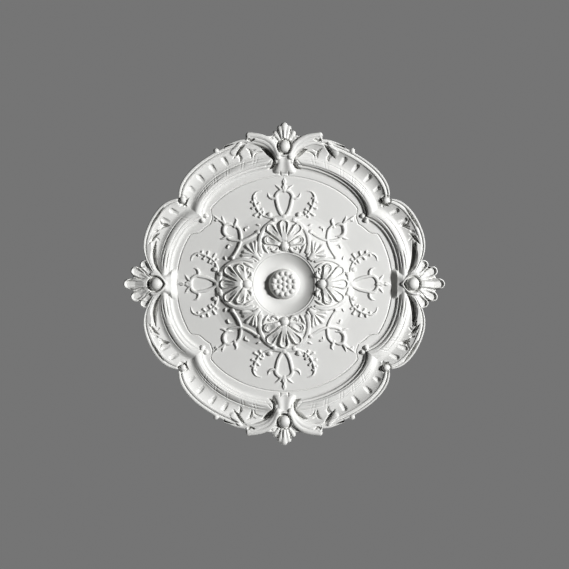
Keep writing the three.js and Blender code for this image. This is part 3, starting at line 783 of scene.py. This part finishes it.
def console(relief, high, form):
    """Console under a finial: its half width and its height are read, at each distance outwards, from
    rows with straight lines between them; its sides round off, and a shallow valley runs along it."""
    u = np.abs(relief.x if form.turned else relief.y)
    v = relief.y if form.turned else relief.x
    rows, face = np.array(form.rows), np.array(form.face)
    half = np.interp(v, rows[:, 0], rows[:, 1])
    inside = (v > rows[0, 0]) & (v < rows[-1, 0] + 1) & (u < half)
    q = u[inside] / half[inside]
    top = np.interp(v[inside], face[:, 0], face[:, 1])
    side = np.clip(1 - q**4, 0, 1) ** 0.6
    level = high.field - 1 + (top - high.field + 1 - form.valley * np.cos(q * math.pi / 1.3) ** 2) * side
    relief.z[inside] = np.maximum(relief.z[inside], level)


def carve_crest(relief, size):
    """Crest at an end: a leaf of seven lobes over a ball in its cup, long leaves that sweep over the
    lip to each side, and the console below it."""
    high, root = size.height, size.edge_radius - CREST_INSET
    console(relief, high, END_CONSOLE)
    for side in (-1, 1):
        spot, from_root = on_axis(True, side), on_axis(True, side, root)
        sweep = ((8, 151.5), (14.0, 160.6), (24, 166.6), (38, 170.4), (54, 170.8), (72, 165.4))
        for width, top, taper, points in (
            (6.0, 18.0, pointed, sweep),
            (6.2, 19.6, even, ((7.5, 152), (13.0, 161.6), (21, 168.6), (32, 172.8), (42.6, 174.6))),
            (6.2, 20.6, even, ((7, 155), (12.0, 165.6), (19, 172.4), (29, 176.6), (42.6, 178.6))),
        ):
            relief.stroke(spot(*points), width, 2.2, taper, rounded, base=top - 2.2)
        relief.ball(*spot((43.0, 177.6)), 3.2, 20.6, 0.7, base=0.0)
        hook = spot((36.8, 173.0), (40.0, 171.6), (43.2, 173.0))
        relief.stroke(hook, 2.4, 5.0, even, gouged, cut=True)
        relief.ball(*spot(polar(62.9, 179.2)), 3.2, 18.6, 0.8, base=0.0)
        for start, end, half, top, tail in (
            ((6.4, 1), (14.8, 11.4), 3.2, 17.2, 0.8),
            ((4.4, 5), (12.4, 18.8), 3.5, 18.0, 0.7),
            ((2.0, 8), (5.8, 25.6), 3.7, 19.0, 0.6),
        ):
            relief.lobe(*from_root(start, end), half, 3.4, tail, rounded, base=top - 3.4)
    centre = on_axis(True, 1, root)
    relief.lobe(*centre((0, 7), (0, size.crest_length)), 4.4, 3.6, 0.6, rounded, base=16.4)
    for side in (-1, 1):
        spot, from_root = on_axis(True, side), on_axis(True, side, root)
        for points in (((1.7, 9), (2.6, 21.5)), ((4.2, 9.0), (7.4, 18.5)), ((6.6, 6), (11.0, 12))):
            relief.stroke(from_root(*points), 1.5, 2.2, spindle, vee, cut=True)
        ring = ((0, -10.6), (6.2, -8.8), (9.8, -2), (9.6, 4))
        relief.stroke(from_root(*ring), 2.8, 2.2, even, rounded, base=high.console - 2.6)
        gap = ((0, -8.6), (5.4, -6.8), (8.2, -0.6), (7.0, 5.4), (3.0, 8.4), (0, 8.8))
        relief.stroke(from_root(*gap), 2.2, 4.5, even, rounded, cut=True)
        relief.stroke(spot((4.6, 131.6), (4.9, 135.8)), 2.0, 2.0, pointed, rounded, cut=True)
    relief.ball(*centre((0, 0)), 6.9, high.finial, 0.85, base=0.0)


def carve(relief, size):
    """All the carving, from the centre outwards, with what stands highest last."""
    carve_boss(relief, size)
    carve_corner(relief, size)
    for turned in (False, True):
        carve_palmette(relief, size, turned)
        carve_urn(relief, size, turned)
    carve_bead(relief, size)
    carve_channel(relief, size)
    carve_notch(relief)
    carve_shell(relief, size)
    carve_crest(relief, size)


def outline(size, degrees):
    """Outer radius at each angle: the farthest point, on a fine row of points outwards, that lies on
    the frame or on a form that stands out from it."""
    edge = guide_lines(size, degrees).edge
    radius = np.arange(140.0, 200.0, 0.12)[:, None] * np.ones_like(degrees)
    angle = np.radians(degrees) * np.ones_like(radius)
    outside = -50.0
    blank = np.where(radius < edge, 0.0, outside)
    relief = Relief(radius * np.cos(angle), radius * np.sin(angle), blank)
    carve_shell(relief, size)
    carve_crest(relief, size)
    reached = np.where(relief.z.reshape(radius.shape) > outside / 2, radius, 0).max(0)
    return np.maximum(reached, edge)


def quarter_grid(size, columns):
    """Radii and heights of a quarter of the face: columns of even angles, and rows that follow the
    lines of the frame, with even steps between two lines."""
    degrees = np.linspace(0, 90, columns + 1)
    line = guide_lines(size, degrees)
    rim = outline(size, degrees)
    zero = np.zeros_like(degrees)
    lines = [zero, line.field, line.foot, line.bead_in, line.bead_out, line.lip, rim]
    rows = []
    for inner, outer, count in zip(lines, lines[1:], GRID_ROWS):
        shares = np.arange(count)[:, None] / count
        rows.append(inner + (outer - inner) * shares)
    rows.append(rim[None, :])
    radius = np.vstack(rows)[1:]
    angle = np.radians(degrees)
    x, y = radius * np.cos(angle), radius * np.sin(angle)
    relief = Relief(x, y, ground(size, x, y))
    carve(relief, size)
    height = relief.z.reshape(x.shape)
    return radius, soften(height)


def soften(height):
    """Softens the heights as a coat of primer does: along each direction of the grid in turn, each
    becomes the mean of its two neighbours and of itself, counted twice."""
    for axis in (0, 1):
        ahead = np.concatenate([np.delete(height, 0, axis), np.take(height, [-1], axis)], axis)
        back = np.concatenate([np.take(height, [0], axis), np.delete(height, -1, axis)], axis)
        height = (ahead + 2 * height + back) / 4
    return height


def whole_turn(quarter):
    """A quarter's columns mirrored into the other three, without repeating the columns on an axis."""
    half = np.hstack([quarter, quarter[:, -2::-1]])
    return np.hstack([half, half[:, -2:0:-1]])


def closed_mesh(radius, height):
    """A closed grid from rings of radii and heights, inner ring first: the face, a wall down to the
    flat back, and the back. It ends in middle points where the inner ring is a small one, and has an
    inner wall otherwise. The face is turned over, because it hangs."""
    around = radius.shape[1]
    centred = radius[0].max() < 1.0
    angle = np.arange(around) / around * 2 * np.pi
    flat_ring = np.zeros((1, around))
    rings = [radius, radius[-1:]] if centred else [radius[:1], radius, radius[-1:]]
    levels = [height, flat_ring] if centred else [flat_ring, height, flat_ring]
    reach, level = np.vstack(rings), np.vstack(levels)
    points = np.stack([reach * np.cos(angle), reach * np.sin(angle), level], -1).reshape(-1, 3)
    first = np.arange(around)
    after = np.roll(first, -1)
    step = (np.arange(len(reach) - 1) * around)[:, None]
    corners = [first + step, first + step + around, after + step + around, after + step]
    quads = np.stack(corners, -1).reshape(-1, 4)
    last = (len(reach) - 1) * around
    if centred:
        points = np.vstack([points, [[0.0, 0.0, height[0].mean()], [0.0, 0.0, 0.0]]])
        face = np.stack([np.full(around, len(points) - 2), first, after], -1)
        back = np.stack([np.full(around, len(points) - 1), after + last, first + last], -1)
        triangles = np.vstack([face, back])
    else:
        back = np.stack([first + last, first, after, after + last], -1)
        quads, triangles = np.vstack([quads, back]), np.zeros((0, 3), int)
    return points * np.array([1, -1, -1]) * MM, triangles, quads


def mesh_object(name, points, triangles, quads):
    """A mesh object from arrays, with its faces in one loop list."""
    mesh = bpy.data.meshes.new(name)
    mesh.vertices.add(len(points))
    mesh.vertices.foreach_set("co", points.astype(np.float32).ravel())
    loops = np.concatenate([triangles.ravel(), quads.ravel()])
    starts = np.concatenate([
        np.arange(len(triangles)) * 3, len(triangles) * 3 + np.arange(len(quads)) * 4])
    mesh.loops.add(len(loops))
    mesh.loops.foreach_set("vertex_index", loops.astype(np.int32))
    mesh.polygons.add(len(starts))
    mesh.polygons.foreach_set("loop_start", starts.astype(np.int32))
    mesh.update(calc_edges=True)
    piece = bpy.data.objects.new(name, mesh)
    bpy.context.scene.collection.objects.link(piece)
    return piece


def thinned(piece, triangles):
    """The piece's mesh with fewer triangles: most go where the surface is flat."""
    total = sum(len(p.vertices) - 2 for p in piece.data.polygons)
    modifier = piece.modifiers.new("thin", "DECIMATE")
    modifier.ratio = min(1.0, triangles / total)
    modifier.use_collapse_triangulate = True
    graph = bpy.context.evaluated_depsgraph_get()
    thin = bpy.data.meshes.new_from_object(piece.evaluated_get(graph))
    piece.modifiers.clear()
    full, piece.data = piece.data, thin
    bpy.data.meshes.remove(full)
    thin.name = piece.name
    return piece


def add_node(tree, kind, settings=None, values=None, links=None):
    """Adds a node with its settings, the values of its sockets and the links into them."""
    node = tree.nodes.new(kind)
    for name, value in (settings or {}).items():
        setattr(node, name, value)
    for name, value in (values or {}).items():
        node.inputs[name].default_value = value
    for name, source in (links or {}).items():
        tree.links.new(source, node.inputs[name])
    return node


def primed_foam(finish):
    """Matt white acrylic primer sprayed on moulded rigid polyurethane: even and neutral, with a
    faint cloudiness where the coat is thinner, and the fine pebbled grain of a sprayed coat."""
    material = bpy.data.materials.new("sprayed_primer_on_polyurethane")
    material.use_nodes = True
    tree = material.node_tree
    tree.nodes.clear()
    place = add_node(tree, "ShaderNodeTexCoord").outputs["Object"]
    cloud = add_node(tree, "ShaderNodeTexNoise", values={
        "Scale": 1 / (CLOUD_SIZE * MM), "Detail": 3.0, "Roughness": 0.5}, links={"Vector": place})
    thin = [c * THIN_COAT for c in finish.primer]
    coat = add_node(tree, "ShaderNodeMix", {"data_type": "RGBA"}, {
        MIX_A: (*thin, 1.0), MIX_B: (*finish.primer, 1.0)}, {"Factor": cloud.outputs["Fac"]})
    grain = add_node(tree, "ShaderNodeTexNoise", values={
        "Scale": 1 / (GRAIN_SIZE * MM), "Detail": 2.0, "Roughness": 0.6}, links={"Vector": place})
    bump = add_node(tree, "ShaderNodeBump", values={"Strength": 0.16, "Distance": 0.00012},
                    links={"Height": grain.outputs["Fac"]})
    rough = add_node(tree, "ShaderNodeMapRange", values={
        "To Min": finish.roughness - 0.05, "To Max": finish.roughness + 0.06},
        links={"Value": cloud.outputs["Fac"]})
    shader = add_node(tree, "ShaderNodeBsdfPrincipled", values={"IOR": 1.5},
                      links={"Base Color": coat.outputs[MIX_RESULT], "Normal": bump.outputs["Normal"],
                             "Roughness": rough.outputs["Result"]})
    add_node(tree, "ShaderNodeOutputMaterial", links={"Surface": shader.outputs["BSDF"]})
    return material


def sun_light(name, location, strength):
    """A soft overhead light that falls from a direction on the floor and on the back of the rose."""
    data = bpy.data.lights.new(name, "SUN")
    data.angle = math.radians(SUN_ANGLE)
    data.energy = strength
    light = bpy.data.objects.new(name, data)
    light.rotation_mode = "QUATERNION"
    light.location = location
    light.rotation_quaternion = (-Vector(location)).to_track_quat("-Z", "Y")
    bpy.context.scene.collection.objects.link(light)
    return light


def painted_floor():
    """Pale matt floor paint, rolled: even, with the soft mottle of the roller."""
    material = bpy.data.materials.new("rolled_floor_paint")
    material.use_nodes = True
    tree = material.node_tree
    tree.nodes.clear()
    place = add_node(tree, "ShaderNodeTexCoord").outputs["Object"]
    mottle = add_node(tree, "ShaderNodeTexNoise", values={
        "Scale": 1 / (MOTTLE_SIZE * MM), "Detail": 4.0}, links={"Vector": place})
    tone = add_node(tree, "ShaderNodeMix", {"data_type": "RGBA"}, {
        MIX_A: linear("a9a9a8"), MIX_B: linear("b0b0af")}, {"Factor": mottle.outputs["Fac"]})
    shader = add_node(tree, "ShaderNodeBsdfPrincipled", values={"Roughness": 0.8},
                      links={"Base Color": tone.outputs[MIX_RESULT]})
    add_node(tree, "ShaderNodeOutputMaterial", links={"Surface": shader.outputs["BSDF"]})
    return material


def area_light(name, location, size, power):
    """A soft square light that looks at the rose."""
    data = bpy.data.lights.new(name, "AREA")
    data.size = size
    data.energy = power
    light = bpy.data.objects.new(name, data)
    light.rotation_mode = "QUATERNION"
    light.location = location
    light.rotation_quaternion = (-Vector(location)).to_track_quat("-Z", "Y")
    bpy.context.scene.collection.objects.link(light)
    return light


def studio_world(scene, stage):
    """World that shows an even grey to the camera and lights faintly with the same grey."""
    world = scene.world or bpy.data.worlds.new("studio")
    scene.world = world
    world.use_nodes = True
    tree = world.node_tree
    tree.nodes.clear()
    grey = (*stage.grey, 1.0)
    seen = add_node(tree, "ShaderNodeLightPath")
    ambient = add_node(tree, "ShaderNodeBackground", values={"Color": grey, "Strength": stage.ambient})
    backdrop = add_node(tree, "ShaderNodeBackground", values={"Color": grey})
    mix = add_node(tree, "ShaderNodeMixShader", links={
        "Fac": seen.outputs["Is Camera Ray"], 1: ambient.outputs["Background"],
        2: backdrop.outputs["Background"]})
    add_node(tree, "ShaderNodeOutputWorld", links={"Surface": mix.outputs["Shader"]})


def camera_below(scene, stage):
    """Camera that looks straight up at the face, with the lens that shows the picture's width at the
    middle of the relief."""
    data = bpy.data.cameras.new("camera")
    camera = bpy.data.objects.new("camera", data)
    scene.collection.objects.link(camera)
    data.sensor_width = 36.0
    data.lens = data.sensor_width * stage.camera_distance / (PHOTO_PIXELS * PIXEL * MM)
    across, along = (pixels * PIXEL * MM for pixels in PHOTO_CENTRE)
    camera.location = (across, along, -stage.camera_distance - MID_DEPTH * MM)
    camera.rotation_euler = (math.pi, 0, 0)
    scene.camera = camera


class ROSE_OT_carved_face(bpy.types.Operator):
    """Make the carved rose in white primer, as three closed pieces of one casting"""

    bl_idname = "rose.carved_face"
    bl_label = "Carved rose"

    def execute(self, context):
        finish = context.scene.rose_finish
        radius, height = (whole_turn(part) for part in quarter_grid(rose_sizes(), finish.columns))
        material = primed_foam(finish)
        for name, (first, last) in PARTS.items():
            piece = mesh_object(name, *closed_mesh(radius[first:last], height[first:last]))
            thinned(piece, finish.triangles)
            piece.data.shade_smooth()
            piece.data.set_sharp_from_angle(angle=math.radians(SHARP_ANGLE))
            normals = piece.modifiers.new("even_normals", "WEIGHTED_NORMAL")
            normals.keep_sharp = True
            piece.data.materials.append(material)
            if not 10000 < len(piece.data.polygons) < 200000:
                raise RuntimeError(f"{name} has {len(piece.data.polygons)} triangles")
            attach(piece, "root")
            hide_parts("ceiling_rose")
        return {"FINISHED"}


class ROSE_OT_stage(bpy.types.Operator):
    """Make the floor, the studio lights and the camera below the rose"""

    bl_idname = "rose.stage"
    bl_label = "Stage"

    def execute(self, context):
        scene, stage = context.scene, context.scene.rose_stage
        square = np.array([(-1, -1), (1, -1), (1, 1), (-1, 1)]) * FLOOR_HALF
        points = np.column_stack([square, np.full(4, -stage.drop)])
        floor = mesh_object("floor", points, np.zeros((0, 3), int), np.array([[0, 1, 2, 3]]))
        floor.data.materials.append(painted_floor())
        floor.visible_diffuse = False  # its bounced light would wash out the relief
        studio_world(scene, stage)
        area_light("key", KEY_PLACE, KEY_SIZE, stage.key_power)
        area_light("fill", FILL_PLACE, FILL_SIZE, stage.fill_power)
        sun_light("above", ABOVE_PLACE, stage.above_power)
        sun_light("behind", BEHIND_PLACE, stage.behind_power)
        camera_below(scene, stage)
        scene.view_settings.view_transform = "Standard"
        scene.view_settings.look = "High Contrast"
        return {"FINISHED"}


class ROSE_PT_panel(bpy.types.Panel):
    """Lists the rose's sizes and its operators"""

    bl_idname = "ROSE_PT_panel"
    bl_label = "Ceiling rose"
    bl_space_type = "VIEW_3D"
    bl_region_type = "UI"
    bl_category = "Ceiling rose"

    def draw(self, context):
        for name in GROUPS:
            group = getattr(context.scene, name)
            box = self.layout.box()
            for size in group.__annotations__:
                box.prop(group, size)
        self.layout.operator("rose.carved_face")
        self.layout.operator("rose.stage")


GROUPS = {
    "rose_frame": RoseFrameSizes,
    "rose_heights": RoseHeights,
    "rose_carving": RoseCarving,
    "rose_finish": RoseFinish,
    "rose_stage": StageSettings,
}
CLASSES = (*GROUPS.values(), ROSE_OT_carved_face, ROSE_OT_stage, ROSE_PT_panel)


def register():
    """Registers the classes and gives the scene its groups of sizes."""
    for item in CLASSES:
        bpy.utils.register_class(item)
    for name, group in GROUPS.items():
        setattr(bpy.types.Scene, name, PointerProperty(type=group))


def unregister():
    """Takes the groups and classes away again."""
    for name in GROUPS:
        delattr(bpy.types.Scene, name)
    for item in reversed(CLASSES):
        bpy.utils.unregister_class(item)


def main():
    """Makes the rose and its stage."""
    register()
    bpy.ops.rose.carved_face()
    bpy.ops.rose.stage()


if __name__ == "__main__":
    main()
